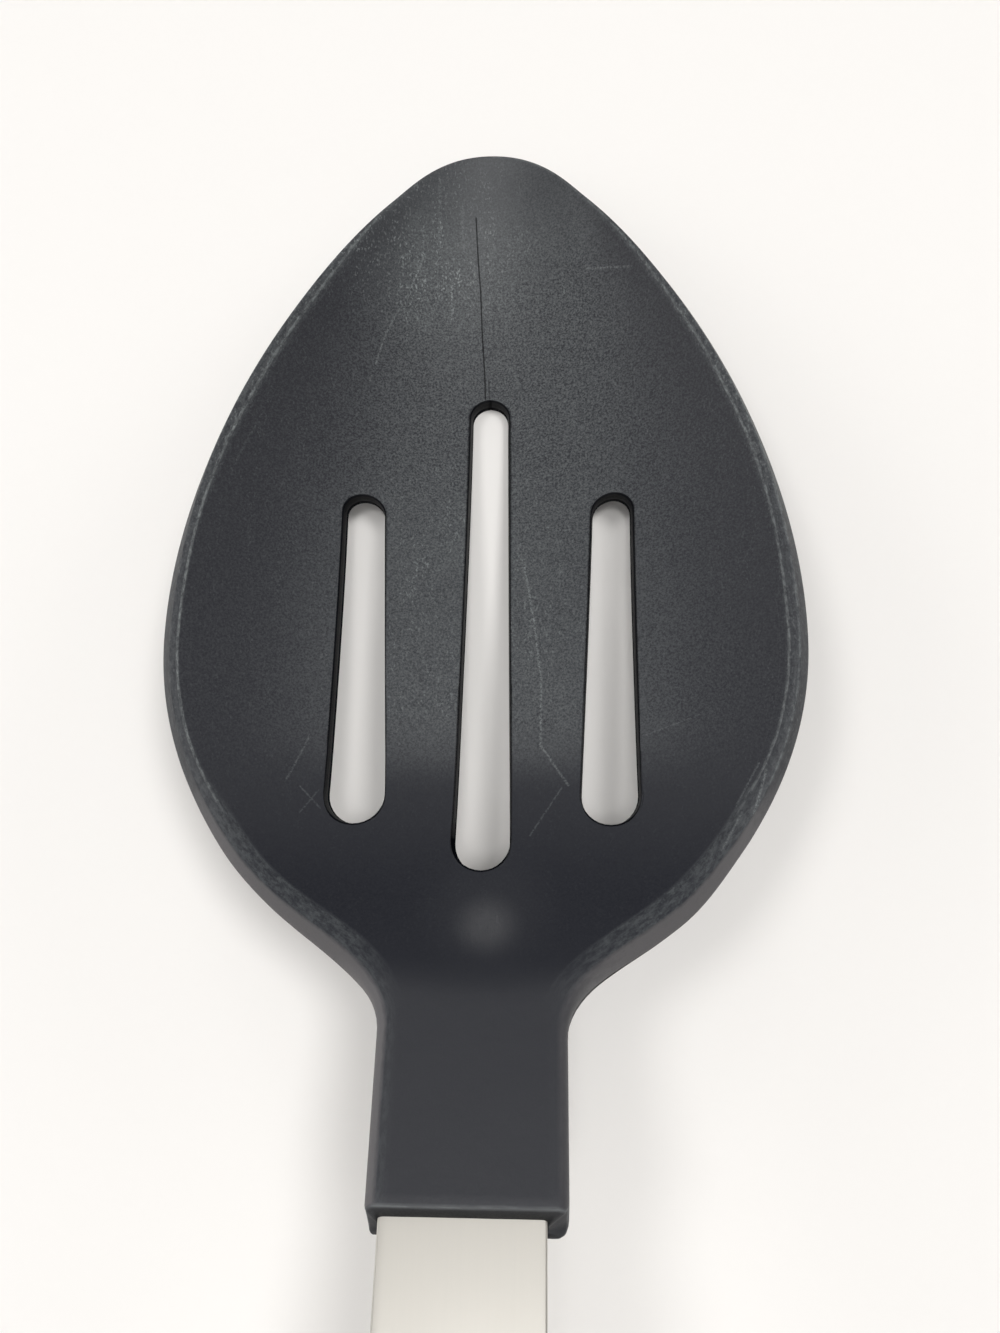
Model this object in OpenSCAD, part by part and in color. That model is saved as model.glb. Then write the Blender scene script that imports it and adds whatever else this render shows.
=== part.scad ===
// Slotted serving spoon: a moulded nylon head on a flat stainless steel handle strip.
// It lies as it rests on a table, with the tip towards +Y, the handle towards -Y and the table at z = 0.
// Places along the spoon are distances from the tip, called s in the functions.

/* [Bowl] */
// Width over the rim, at the widest place
bowl_w = 70.5; // [60:0.5:84]
// Length from the tip to the crease where the neck begins
bowl_l = 101; // [88:1:120]
// Thickness of the bowl's wall
wall = 2.2; // [1.6:0.1:3]
// Height of the rim's top at the tip, above the table
tip_h = 7; // [5:0.5:10]
// Height of the rim's top where it runs level
rim_h = 15.5; // [13:0.5:20]
// Distance from the tip to the place where the rim runs level
rim_level_l = 80; // [72:1:84]
// Slope of the rim as it leaves the tip, in degrees
rim_angle = 12; // [6:1:18]
// Distance from the tip to the lowest place of the floor
low_l = 30; // [22:1:40]
// Distance from the tip to the bend where the floor turns up into the heel
bend_l = 77; // [68:1:80]
// Height of the floor's top at that bend
bend_h = 8.1; // [6:0.1:10]
// Slope of the floor at that bend, in degrees
bend_angle = 8; // [4:1:14]
// Slope of the heel as it meets the neck, in degrees
heel_angle = 30; // [22:1:40]
// Fullness of the bowl across: 2 is a parabola, more is flatter with steeper sides
bowl_fullness = 2.1; // [1.8:0.1:3]
// Width of the flat land on the rim
rim_land = 1.4; // [0.6:0.1:1.8]
// Size of the bevel along the rim's edges
rim_bevel = 0.8; // [0.3:0.1:0.9]

/* [Slots] */
// Width of every slot at its end nearer the tip
slot_tip_w = 4.5; // [4.2:0.1:6]
// Width of the middle slot at its end nearer the neck
mid_heel_w = 5.6; // [4.2:0.1:7]
// Width of a side slot at its end nearer the neck
side_heel_w = 6.1; // [4.2:0.1:7]
// Distance from the tip to the start of the middle slot
mid_start_l = 31.6; // [26:0.2:40]
// Length of the middle slot
mid_l = 58.2; // [40:0.2:60]
// Distance from the tip to the start of the side slots
side_start_l = 45.2; // [38:0.2:52]
// Length of a side slot
side_l = 40; // [28:0.5:42]
// Distance of a side slot's middle from the axis, at its end nearer the tip
side_tip_x = 15; // [12:0.1:18]
// Distance of a side slot's middle from the axis, at its end nearer the neck
side_heel_x = 13.8; // [11:0.1:16]

/* [Neck] */
// Height of the neck's top above the table, at the crease
neck_h = 20; // [18:0.5:26]
// Slope of the neck and of the strip in it, in degrees
neck_angle = 17; // [10:1:22]
// Length of the neck's top, from the crease to the socket's mouth
neck_l = 18.6; // [14:0.2:26]
// Nylon above the strip
roof_t = 1.6; // [1.4:0.1:2.4]
// Nylon below the strip
base_t = 1.1; // [0.9:0.1:2]
// Mean thickness of the nylon beside the strip
side_t = 1.05; // [0.9:0.05:2]
// How far the strip sits to the left of the head's middle
strip_shift = 0.45; // [0:0.05:0.5]
// Nylon between the end of the tang and the crease
heel_web = 4.6; // [3:0.1:7]
// Rake of the socket's mouth, in degrees from square
mouth_rake = 34; // [0:1:40]
// Clearance around the tang on every side
seat_gap = 0.05; // [0.02:0.01:0.15]

/* [Handle] */
// Width of the strip at the neck
strip_w = 16; // [12:0.1:20]
// Thickness of the strip
strip_t = 2; // [1.5:0.1:3]
// Straight length of the strip outside the socket, measured from the top edge of the mouth
lead_l = 14; // [8:1:30]
// Bend radius of the arch, at the middle of the strip's thickness
arch_r = 150; // [80:5:260]
// Slope of the straight tail down to the table, in degrees
tail_angle = 15; // [10:1:22]
// Width of the strip near its far end
end_w = 22; // [18:0.5:30]
// Radius of the corners of the far end
end_r = 8; // [4:0.5:9]
// Diameter of the hole to hang the spoon by
hang_d = 7; // [5:0.5:8]
// Distance from the hole's middle to the far end
hang_inset = 11; // [8:0.5:16]

/* [Lock pins] */
// Diameter of the pins
pin_d = 3; // [2:0.1:3.5]
// How far the pins reach into the nylon above the strip
pin_reach = 0.8; // [0.4:0.1:1]
// Clearance around the pins in the tang's holes
pin_gap = 0.1; // [0.05:0.01:0.3]

/* [Hidden] */
$fn = 64;

// Overrun of the cuts
cut = 1;
// Places of the two pins, as shares of the tang's length from the mouth
pin_shares = [0.28, 0.76];
// Divisions of a section across, and of the four curves of the outline from the tip to the neck
columns = 14;
curve_steps = [5, 14, 9, 7];
// Divisions of the arch
arch_steps = 16;
// First place on the tip's curve, and the least part of the width that the bowl's inside takes there
tip_start_share = 0.12;
inside_share = 0.4;

rim_w = rim_land + rim_bevel;
socket_w = strip_w + 2 * seat_gap;
socket_h = strip_t + 2 * seat_gap;
neck_w = socket_w + 2 * side_t;
neck_t = roof_t + socket_h + base_t;
tang_l = neck_l - heel_web;
strip_depth = roof_t + seat_gap;

// Outline from above, as control points of four cubic curves: shares of half the bowl's width and of its length.
tip_shares = [[0, 0], [0.18, 0], [0.27, 0.042], [0.34, 0.068]];
flank_shares = [[0.34, 0.068], [0.65, 0.182], [1, 0.417], [1, 0.637]];
heel_shares = [[1, 0.637], [1, 0.804], [0.7, 0.91], [0.59, 0.938]];
// The last curve ends on the neck's side, so its width shares count from the neck's edge to the rim's.
fillet_shares = [[0.45, 0.938], [0.228, 0.982], [0, 1.004], [0, 1.05]];

// Mouth of the socket: its top edge's distance from the tip and height above the table.
mouth_s = bowl_l + neck_l * cos(neck_angle);
mouth_h = neck_h + neck_l * sin(neck_angle);

// The strip's middle plane, where the arch and the tail start, and where the underside meets the table.
strip_mid = strip_depth + strip_t / 2;
arch_s = mouth_s + strip_mid * sin(neck_angle) + lead_l * cos(neck_angle);
arch_h = mouth_h - strip_mid * cos(neck_angle) + lead_l * sin(neck_angle);
tail_s = arch_s + arch_r * (sin(neck_angle) + sin(tail_angle));
tail_h = arch_h + arch_r * (cos(tail_angle) - cos(neck_angle));
end_s = tail_s + (tail_h - strip_t / 2 / cos(tail_angle)) / tan(tail_angle);
tail_l = (end_s - tail_s) / cos(tail_angle);

// A point or a height on a cubic Bezier curve.
function bez(p, t) =
    pow(1 - t, 3) * p[0] + 3 * pow(1 - t, 2) * t * p[1] + 3 * (1 - t) * t * t * p[2] + pow(t, 3) * p[3];
function smooth(t) = let (u = min(max(t, 0), 1)) u * u * (3 - 2 * u);

// Control points of the outline in millimetres, as [half width, distance from the tip].
function on_bowl(p) = [p[0] * bowl_w / 2, p[1] * bowl_l];
function on_fillet(p) = [neck_w / 2 + p[0] * (bowl_w - neck_w) / 2, p[1] * bowl_l];
joint_point = on_bowl(heel_shares[3]);
outline = [
    [for (p = tip_shares) on_bowl(p)],
    [for (p = flank_shares) on_bowl(p)],
    [for (p = heel_shares) on_bowl(p)],
    [joint_point, on_fillet(fillet_shares[1]), on_fillet(fillet_shares[2]), on_fillet(fillet_shares[3])]
];

// The head starts at the first section. The tip's place on the Y axis centres the spoon on the origin.
first = bez(outline[0], tip_start_share);
tip_y = (end_s + first[1]) / 2;

// Height of the rim's top at distance s: up from the tip, level, then up to the neck and along it.
function rim_z(s) =
    s < rim_level_l
    ? bez([tip_h, tip_h + tan(rim_angle) * rim_level_l / 3, rim_h, rim_h], s / rim_level_l)
    : s < bowl_l
    ? bez([rim_h, rim_h, neck_h - tan(neck_angle) * (bowl_l - rim_level_l) / 3, neck_h],
          (s - rim_level_l) / (bowl_l - rim_level_l))
    : neck_h + tan(neck_angle) * (s - bowl_l);

// Height of the floor's top on the axis: down from the tip, up to the bend, then up the heel to the neck.
function floor_z(s) =
    s <= rim_w || s >= bowl_l
    ? rim_z(s)
    : s < low_l
    ? bez([rim_z(rim_w), (rim_z(rim_w) + 2 * wall) / 3, wall, wall], (s - rim_w) / (low_l - rim_w))
    : s < bend_l
    ? bez([wall, wall, bend_h - tan(bend_angle) * (bend_l - low_l) / 3, bend_h],
          (s - low_l) / (bend_l - low_l))
    : bez([bend_h, bend_h + tan(bend_angle) * (bowl_l - bend_l) / 3,
           neck_h - tan(heel_angle) * (bowl_l - bend_l) / 3, neck_h],
          (s - bend_l) / (bowl_l - bend_l));

// Wall thickness and lean of the sections: both grow from the bend to the neck.
function thickness(s) = wall + (neck_t - wall) * smooth((s - bend_l) / (bowl_l - bend_l));
function lean(s) = neck_angle * smooth((s - bend_l) / (bowl_l - bend_l));

// A point of the section at s: x, drop below the rim's top, then depth square to the lean, raked at the mouth.
function section_point(s, x, drop, depth, rake) =
    let (a = lean(s))
    [x,
     tip_y - s - depth * sin(a) - depth * rake * cos(a),
     rim_z(s) - drop - depth * cos(a) + depth * rake * sin(a)];

// One closed section of the head: its top from left to right, then its underside from right to left.
function section(w, s, rake) =
    let (inside = max(w - rim_w, w * inside_share),
         edge = max(w - rim_bevel, w * (1 + inside_share) / 2),
         hollow = rim_z(s) - floor_z(s),
         t = thickness(s),
         across = [for (i = [0 : columns]) -1 + 2 * i / columns])
    concat(
        [section_point(s, -w, 0, rim_bevel, rake), section_point(s, -edge, 0, 0, rake)],
        [for (c = across) section_point(s, inside * c, hollow * (1 - pow(abs(c), bowl_fullness)), 0, rake)],
        [section_point(s, edge, 0, 0, rake), section_point(s, w, 0, rim_bevel, rake)],
        [section_point(s, w, 0, t - rim_bevel, rake), section_point(s, edge, 0, t, rake)],
        [for (c = across) section_point(s, -inside * c, hollow * (1 - pow(abs(c), bowl_fullness)), t, rake)],
        [section_point(s, -edge, 0, t, rake), section_point(s, -w, 0, t - rim_bevel, rake)]
    );

// The closed skin through a list of sections, with flat ends.
module skin(sections) {
    n = len(sections[0]);
    m = len(sections);
    sides = [for (j = [0 : m - 2], i = [0 : n - 1])
        let (a = j * n + i, b = j * n + (i + 1) % n, c = a + n, d = b + n)
        each [[a, b, d], [a, d, c]]];
    // The section's top and underside mirror each other, so an end is a strip between them.
    half = n / 2;
    ends = [for (i = [0 : half - 2], last = [false, true])
        let (o = last ? (m - 1) * n : 0, p = o + i, q = o + i + 1, r = o + n - 2 - i, t = o + n - 1 - i)
        each last ? [[p, q, r], [p, r, t]] : [[p, r, q], [p, t, r]]];
    polyhedron(points = [for (k = sections) each k], faces = concat(sides, ends));
}

module bowl_and_neck() {
    places = [
        for (k = [0 : 3], i = [1 : curve_steps[k]])
            let (t = i / curve_steps[k], u = k == 0 ? tip_start_share + (1 - tip_start_share) * t : t)
            bez(outline[k], u)
    ];
    skin(concat(
        [section(first[0], first[1], 0)],
        [for (p = places) section(p[0], p[1], 0)],
        [section(neck_w / 2, mouth_s, tan(mouth_rake))]
    ));
}

// A slot from above: two round ends of their own widths, joined by straight sides that touch both.
module slot_shape(x1, s1, w1, x2, s2, w2) {
    a = [x1, tip_y - s1 - w1 / 2];
    b = [x2, tip_y - s2 + w2 / 2];
    length = norm(b - a);
    along = (b - a) / length;
    side = [-along[1], along[0]];
    sine = (w1 - w2) / 2 / length;
    cosine = sqrt(1 - sine * sine);
    left = along * sine + side * cosine;
    right = along * sine - side * cosine;
    translate(a) circle(d = w1);
    translate(b) circle(d = w2);
    polygon([a + left * w1 / 2, b + left * w2 / 2, b + right * w2 / 2, a + right * w1 / 2]);
}

module slots() {
    translate([0, 0, -cut]) linear_extrude(neck_h + 2 * cut) {
        slot_shape(0, mid_start_l, slot_tip_w, 0, mid_start_l + mid_l, mid_heel_w);
        for (side = [-1, 1])
            slot_shape(side * side_tip_x, side_start_l, slot_tip_w,
                       side * side_heel_x, side_start_l + side_l, side_heel_w);
    }
}

// Puts its children in the neck's own frame: y = 0 at the mouth's top edge, z = 0 on the neck's top.
module on_neck() {
    translate([0, tip_y - mouth_s, mouth_h]) rotate([-neck_angle, 0, 0]) children();
}

// A pin's place and length in the neck's frame, grown by a clearance all round for its holes.
module pin(share, clearance) {
    bottom = -neck_t;
    top = -roof_t + pin_reach;
    translate([-strip_shift, tang_l * share, bottom]) cylinder(d = pin_d + 2 * clearance, h = top - bottom);
}

module slotted_head() {
    color("#2f3134") difference() {
        bowl_and_neck();
        slots();
        on_neck() {
            // The socket opens past the mouth, as far as the rake carries the mouth's lower edge.
            translate([-strip_shift - socket_w / 2, -neck_t * tan(mouth_rake) - cut, -roof_t - socket_h])
                cube([socket_w, tang_l + neck_t * tan(mouth_rake) + cut + seat_gap, socket_h]);
            for (share = pin_shares) {
                pin(share, 0);
                // The hole runs out through the underside.
                translate([-strip_shift, tang_l * share, -neck_t - cut]) cylinder(d = pin_d, h = 2 * cut);
            }
        }
    }
}

// The strip from above: straight as far as the arch, then widening to its rounded far end.
module strip_outline() {
    corner_y = tip_y - end_s + end_r;
    polygon([
        [-strip_w / 2, tip_y - bowl_l], [-strip_w / 2, tip_y - arch_s], [-end_w / 2, corner_y],
        [end_w / 2, corner_y], [strip_w / 2, tip_y - arch_s], [strip_w / 2, tip_y - bowl_l]
    ]);
    for (side = [-1, 1])
        translate([side * (end_w / 2 - end_r), corner_y]) circle(r = end_r);
    translate([end_r - end_w / 2, tip_y - end_s]) square([end_w - 2 * end_r, end_r]);
}

// Puts its children in the tail's own frame: y = 0 where the arch ends, z = 0 in the middle of the strip.
module on_tail() {
    translate([0, tip_y - tail_s, tail_h]) rotate([tail_angle, 0, 0]) children();
}

// One edge of the bent strip from the side, at a radius from the arch's centre: tang, arch, tail.
function strip_edge(radius) =
    let (centre = [tip_y - arch_s - arch_r * sin(neck_angle), arch_h - arch_r * cos(neck_angle)],
         turn = neck_angle + tail_angle,
         arch = [for (i = [0 : arch_steps]) let (a = neck_angle - turn * i / arch_steps)
             centre + radius * [sin(a), cos(a)]])
    concat(
        [arch[0] + (lead_l + tang_l) * [cos(neck_angle), -sin(neck_angle)]],
        arch,
        [arch[arch_steps] - (tail_l + strip_t) * [cos(tail_angle), sin(tail_angle)]]
    );

// The bent strip before it is cut to its outline.
module bent_blank() {
    blank_w = max(strip_w, end_w) + 2 * cut;
    top = strip_edge(arch_r + strip_t / 2);
    bottom = strip_edge(arch_r - strip_t / 2);
    translate([-blank_w / 2, 0, 0]) rotate([90, 0, 90]) linear_extrude(blank_w)
        polygon(concat(top, [for (i = [len(bottom) - 1 : -1 : 0]) bottom[i]]));
}

module handle_strip() {
    color("#d9d6d0") difference() {
        translate([-strip_shift, 0, 0]) intersection() {
            bent_blank();
            linear_extrude(arch_h + arch_r) strip_outline();
        }
        on_neck() for (share = pin_shares) pin(share, pin_gap);
        on_tail() translate([-strip_shift, hang_inset - tail_l, -strip_t / 2 - cut])
            cylinder(d = hang_d, h = strip_t + 2 * cut);
    }
}

module lock_pin_front() {
    color("#b9b9b7") on_neck() pin(pin_shares[1], 0);
}

module lock_pin_rear() {
    color("#b9b9b7") on_neck() pin(pin_shares[0], 0);
}

slotted_head();
handle_strip();
lock_pin_front();
lock_pin_rear();
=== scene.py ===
import math

import bmesh
import bpy
import numpy as np
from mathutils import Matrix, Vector


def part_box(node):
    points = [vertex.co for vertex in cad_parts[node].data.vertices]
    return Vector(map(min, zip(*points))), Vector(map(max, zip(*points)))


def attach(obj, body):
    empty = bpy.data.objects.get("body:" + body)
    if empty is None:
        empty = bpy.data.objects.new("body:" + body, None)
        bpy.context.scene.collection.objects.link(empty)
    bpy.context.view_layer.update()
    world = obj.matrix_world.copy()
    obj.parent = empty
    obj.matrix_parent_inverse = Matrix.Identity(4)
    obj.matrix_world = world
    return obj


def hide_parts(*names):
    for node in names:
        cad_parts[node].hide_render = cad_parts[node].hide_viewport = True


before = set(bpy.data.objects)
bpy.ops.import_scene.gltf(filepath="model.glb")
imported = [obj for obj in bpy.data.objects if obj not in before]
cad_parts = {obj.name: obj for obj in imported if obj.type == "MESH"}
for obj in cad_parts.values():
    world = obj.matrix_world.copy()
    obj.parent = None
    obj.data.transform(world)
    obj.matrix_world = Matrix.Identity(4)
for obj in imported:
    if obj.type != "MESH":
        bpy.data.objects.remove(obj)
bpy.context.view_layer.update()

bl_info = {
    "name": "Slotted serving spoon",
    "version": (1, 0, 0),
    "blender": (4, 5, 0),
    "location": "3D View > Sidebar > Spoon",
    "description": "Dresses the slotted spoon: worn nylon head, satin steel handle, lock pins and the stage",
    "category": "Object",
}

MM = 0.001
HEAD_LOW, HEAD_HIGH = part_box("slotted_head")
# Where the dressed tip lies, a little beyond the solid's.
TIP_Y = HEAD_HIGH.y + 0.17 * MM


# Properties

def length(name, description, default):
    """A length in the scene's unit, for a panel."""
    return bpy.props.FloatProperty(
        name=name, description=description, default=default, min=0, precision=5, unit="LENGTH")


def turn(name, description, degrees):
    """An angle, for a panel."""
    return bpy.props.FloatProperty(
        name=name, description=description, default=math.radians(degrees), subtype="ANGLE")


def share(name, description, default):
    """A plain number from 0 upwards, for a panel."""
    return bpy.props.FloatProperty(name=name, description=description, default=default, min=0)


def colour(name, description, default):
    """A linear colour, for a panel."""
    return bpy.props.FloatVectorProperty(
        name=name, description=description, default=default, size=3, min=0, max=1, subtype="COLOR")


class SpoonHeadSizes(bpy.types.PropertyGroup):
    """Sizes of the nylon head."""
    bowl_w: length("Bowl width", "Width at the widest place", HEAD_HIGH.x - HEAD_LOW.x + 0.5 * MM)
    bowl_l: length("Bowl length", "Length from the tip to the crease before the neck", 101 * MM)
    wall: length("Wall", "Thickness of the bowl's wall", 2.2 * MM)
    tip_h: length("Tip height", "Height of the rim at the tip", 7 * MM)
    rim_h: length("Rim height", "Height of the rim where it runs level", 15.5 * MM)
    rim_level_l: length("Level place", "Distance from the tip where the rim runs level", 80 * MM)
    rim_angle: turn("Rim angle", "Slope of the rim as it leaves the tip", 12)
    low_l: length("Lowest place", "Distance from the tip to the lowest place of the floor", 30 * MM)
    bend_l: length("Bend", "Distance from the tip to the bend where the heel begins", 77 * MM)
    bend_h: length("Bend height", "Height of the floor at that bend", 8.1 * MM)
    bend_angle: turn("Bend angle", "Slope of the floor at that bend", 8)
    heel_angle: turn("Heel angle", "Slope of the heel where it meets the neck", 30)
    fullness: share("Fullness", "2 is a parabola across the bowl, more is flatter", 2.1)
    neck_w: length("Neck width", "Width of the neck over its sides", 18.6 * MM)
    neck_h: length("Neck height", "Height of the neck's top at the crease", 20 * MM)
    neck_l: length("Neck length", "Length of the neck's top from the crease to the mouth", 19.3 * MM)
    neck_t: length("Neck thickness", "Thickness of the neck over the socket", 4.8 * MM)
    neck_angle: turn("Neck angle", "Slope of the neck and the strip in it", 17)
    mouth_rake: turn("Mouth rake", "Rake of the socket's mouth from square", 27)
    roof_t: length("Roof", "Nylon above the strip", 1.6 * MM)
    mid_start: length("Middle slot start", "Distance from the tip to the middle slot", 31.3 * MM)
    mid_stop: length("Middle slot end", "Distance from the tip to the middle slot's far end", 90.1 * MM)
    side_start: length("Side slot start", "Distance from the tip to the side slots", 44.9 * MM)
    side_stop: length("Side slot end", "Distance from the tip to the side slots' far end", 85.2 * MM)
    slot_tip_r: length("Slot radius", "Radius of the slots' upper edge at the tip end", 2.65 * MM)
    mid_heel_r: length("Middle slot radius", "Radius of the middle slot's edge at the neck end", 3.46 * MM)
    side_heel_r: length("Side slot radius", "Radius of a side slot's edge at the neck end", 3.52 * MM)
    side_tip_x: length("Side slot place", "Distance of a side slot from the axis at the tip end", 15 * MM)
    side_heel_x: length("Side slot end place", "The same distance at the neck end", 14.15 * MM)


class SpoonHandleSizes(bpy.types.PropertyGroup):
    """Sizes of the steel handle strip and its pins."""
    strip_w: length("Strip width", "Width of the strip at the neck", 15.4 * MM)
    strip_t: length("Strip thickness", "Thickness of the strip", 2 * MM)
    strip_shift: length("Shift", "How far the strip sits to the left of the middle", 0.55 * MM)
    seat_gap: length("Seat gap", "Clearance around the tang", 0.05 * MM)
    lead_l: length("Lead", "Straight length outside the socket", 13.2 * MM)
    tang_l: length("Tang", "Length of the strip inside the socket", 14 * MM)
    arch_r: length("Arch radius", "Bend radius of the arch in the middle of the strip", 150 * MM)
    tail_angle: turn("Tail angle", "Slope of the tail down to the table", 15)
    end_w: length("End width", "Width near the far end", 22 * MM)
    end_l: length("End rounding", "Length of the rounded far end", 9 * MM)
    shoulder_r: length("Shoulder", "Radius of the strip's long edges", 0.2 * MM)
    hang_r: length("Hanging hole radius", "Radius of the hanging hole", 3.5 * MM)
    hang_inset: length("Hanging hole place", "Distance of the hole from the far end", 11 * MM)
    pin_r: length("Pin radius", "Radius of the lock pins", 1.5 * MM)


class SpoonFinish(bpy.types.PropertyGroup):
    """Colours and gloss of the finishes, in linear light."""
    nylon: colour("Nylon", "Moulded black nylon", (0.0108, 0.0121, 0.0176))
    # The worn grey also serves as a painted reflection on the bowl's floor.
    nylon_worn: colour("Worn nylon", "Nylon where it is scraped grey", (0.048, 0.0525, 0.0575))
    # This chafed grey also carries painted light on the rim's outer face at the heel and on the neck's left.
    nylon_chafed: colour("Chafed nylon", "Nylon on the outer face of the rim", (0.095, 0.091, 0.096))
    steel: colour("Steel", "Satin stainless steel", (0.57, 0.55, 0.51))
    floor: colour("Floor", "The pale table", (0.952, 0.932, 0.91))


class SpoonStage(bpy.types.PropertyGroup):
    """The camera."""
    camera_x: bpy.props.FloatProperty(
        name="Camera right", description="Camera to the right of the axis", default=7.02 * MM, unit="LENGTH")
    camera_s: length("Camera place", "Camera's distance from the tip, along the spoon", 89.2 * MM)
    camera_h: length("Camera height", "Camera above the table", 126 * MM)
    camera_turn: bpy.props.FloatVectorProperty(
        name="Camera turn", description="Camera's tilt to the tip, to the side and about its view",
        default=(math.radians(10.727), math.radians(2.468), math.radians(0.439)), size=3, subtype="EULER")
    focal: bpy.props.FloatProperty(
        name="Focal length", description="On a 36 mm sensor", default=28.2, min=1, unit="CAMERA")


# Surfaces as arrays

def bezier(points, t):
    """A cubic Bezier curve: (1-t)^3 a + 3 (1-t)^2 t b + 3 (1-t) t^2 c + t^3 d, for numbers or points."""
    t = np.asarray(t, float)
    weights = np.stack([(1 - t) ** 3, 3 * (1 - t) ** 2 * t, 3 * (1 - t) * t ** 2, t ** 3], axis=-1)
    return weights @ np.asarray(points, float)


def ease(value, start=0.0, stop=1.0):
    """Smooth step 3 u^2 - 2 u^3, where u goes from 0 to 1 between start and stop and is held outside."""
    u = np.clip((np.asarray(value, float) - start) / (stop - start), 0, 1)
    return u * u * (3 - 2 * u)


class Outline:
    """Right half of a tongue's outline, from the tip to the root, as dense arrays of x and distance s.

    The outward normal is the curve's direction turned by a quarter: (ds, -dx) over its length.
    """

    def __init__(self, x, s):
        self.x, self.s = x, s
        dx, ds = np.gradient(x), np.gradient(s)
        size = np.hypot(dx, ds)
        self.nx, self.ns = ds / size, -dx / size
        self.run = np.concatenate([[0], np.cumsum(np.hypot(np.diff(x), np.diff(s)))])

    def inset(self, distance):
        """The outline moved inwards along its normals by a distance."""
        return self.x - distance * self.nx, self.s - distance * self.ns

    def at(self, run):
        """x, s and the outward normal at lengths along the outline."""
        return [np.interp(run, self.run, values) for values in (self.x, self.s, self.nx, self.ns)]

    def rows(self, inset, step, stops, first):
        """Lengths along the outline from the first one on, a step apart, with extra ones where the inset
        curve passes the stops."""
        inner_s = self.inset(inset)[1]
        places = np.interp(stops, inner_s, self.run)
        plain = np.linspace(first, self.run[-1], int((self.run[-1] - first) / step))
        near = np.abs(plain[:, None] - places[None, :]).min(axis=1)
        keep = plain[(near > 0.4 * step) | (plain == first) | (plain == plain[-1])]
        return np.unique(np.concatenate([keep, places]))


class Slit:
    """A hole with round ends. Its half width at s is r sqrt(1 - q^2), where q runs from 0 at an end's
    centre to 1 at its tip, and r grows from the first radius to the last as u^1.25."""

    def __init__(self, centre, start, stop, start_r, stop_r):
        self.centre, self.start, self.stop = centre, start, stop
        self.start_r, self.stop_r = start_r, stop_r

    def half_width(self, s):
        first, last = self.start + self.start_r, self.stop - self.stop_r
        u = np.clip((s - first) / max(last - first, MM / 100), 0, 1) ** 1.25
        r = self.start_r + (self.stop_r - self.start_r) * u
        q = np.clip(np.maximum((first - s) / self.start_r, (s - last) / self.stop_r), 0, 1)
        return np.where(q > 1 - 1e-9, 0, r * np.sqrt(1 - q * q))

    def stops(self, steps):
        """The places s that cut each round end at even angles."""
        a = np.linspace(0, math.pi / 2, steps + 1)
        first, last = self.start + self.start_r, self.stop - self.stop_r
        return np.concatenate([first - self.start_r * np.cos(a), last + self.stop_r * np.cos(a)])


class Shell:
    """Points, faces and marks of one closed surface, collected sheet by sheet."""

    def __init__(self):
        self.points, self.quads, self.loose, self.count = [], [], [], 0
        self.marks = {}

    def add(self, points, **marks):
        """Adds an array of points and gives their numbers in the same layout. Marks are values per point."""
        points = np.asarray(points, float)
        ids = self.count + np.arange(points[..., 0].size).reshape(points.shape[:-1])
        for name, values in marks.items():
            blocks = self.marks.setdefault(name, [])
            blocks.append((self.count, np.broadcast_to(values, ids.shape).ravel()))
        self.points.append(points.reshape(-1, 3))
        self.count += ids.size
        return ids

    def grid(self, ids):
        """Four-sided faces between the neighbours of a grid of point numbers."""
        quads = np.stack([ids[:-1, :-1], ids[1:, :-1], ids[1:, 1:], ids[:-1, 1:]], axis=-1)
        self.quads.append(quads.reshape(-1, 4))

    def loop(self, ids):
        """The same for a grid whose first axis closes on itself."""
        self.grid(np.concatenate([ids, ids[:1]]))

    def mesh(self, name):
        """The mesh. A face with a repeated corner becomes a triangle, unused points go, faces point out."""
        quads = np.concatenate(self.quads)
        folded = quads[:, 0] == quads[:, 3]
        points = np.concatenate(self.points)
        faces = quads[~folded].tolist() + quads[folded][:, :3].tolist() + [list(f) for f in self.loose]
        mesh = bpy.data.meshes.new(name)
        mesh.from_pydata(points.tolist(), [], faces)
        for mark, blocks in self.marks.items():
            values = np.zeros(len(points), np.float32)
            for first, block in blocks:
                values[first:first + len(block)] = block
            mesh.attributes.new(mark, "FLOAT", "POINT").data.foreach_set("value", values)
        work = bmesh.new()
        work.from_mesh(mesh)
        bmesh.ops.delete(work, geom=[v for v in work.verts if not v.link_faces], context="VERTS")
        bmesh.ops.recalc_face_normals(work, faces=work.faces)
        if work.calc_volume(signed=True) < 0:
            bmesh.ops.reverse_faces(work, faces=work.faces)
        open_edges = sum(1 for e in work.edges if len(e.link_faces) != 2)
        if open_edges:
            raise ValueError(f"{name} has {open_edges} open edges")
        work.to_mesh(mesh)
        work.free()
        mesh.shade_smooth()
        return mesh


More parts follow.
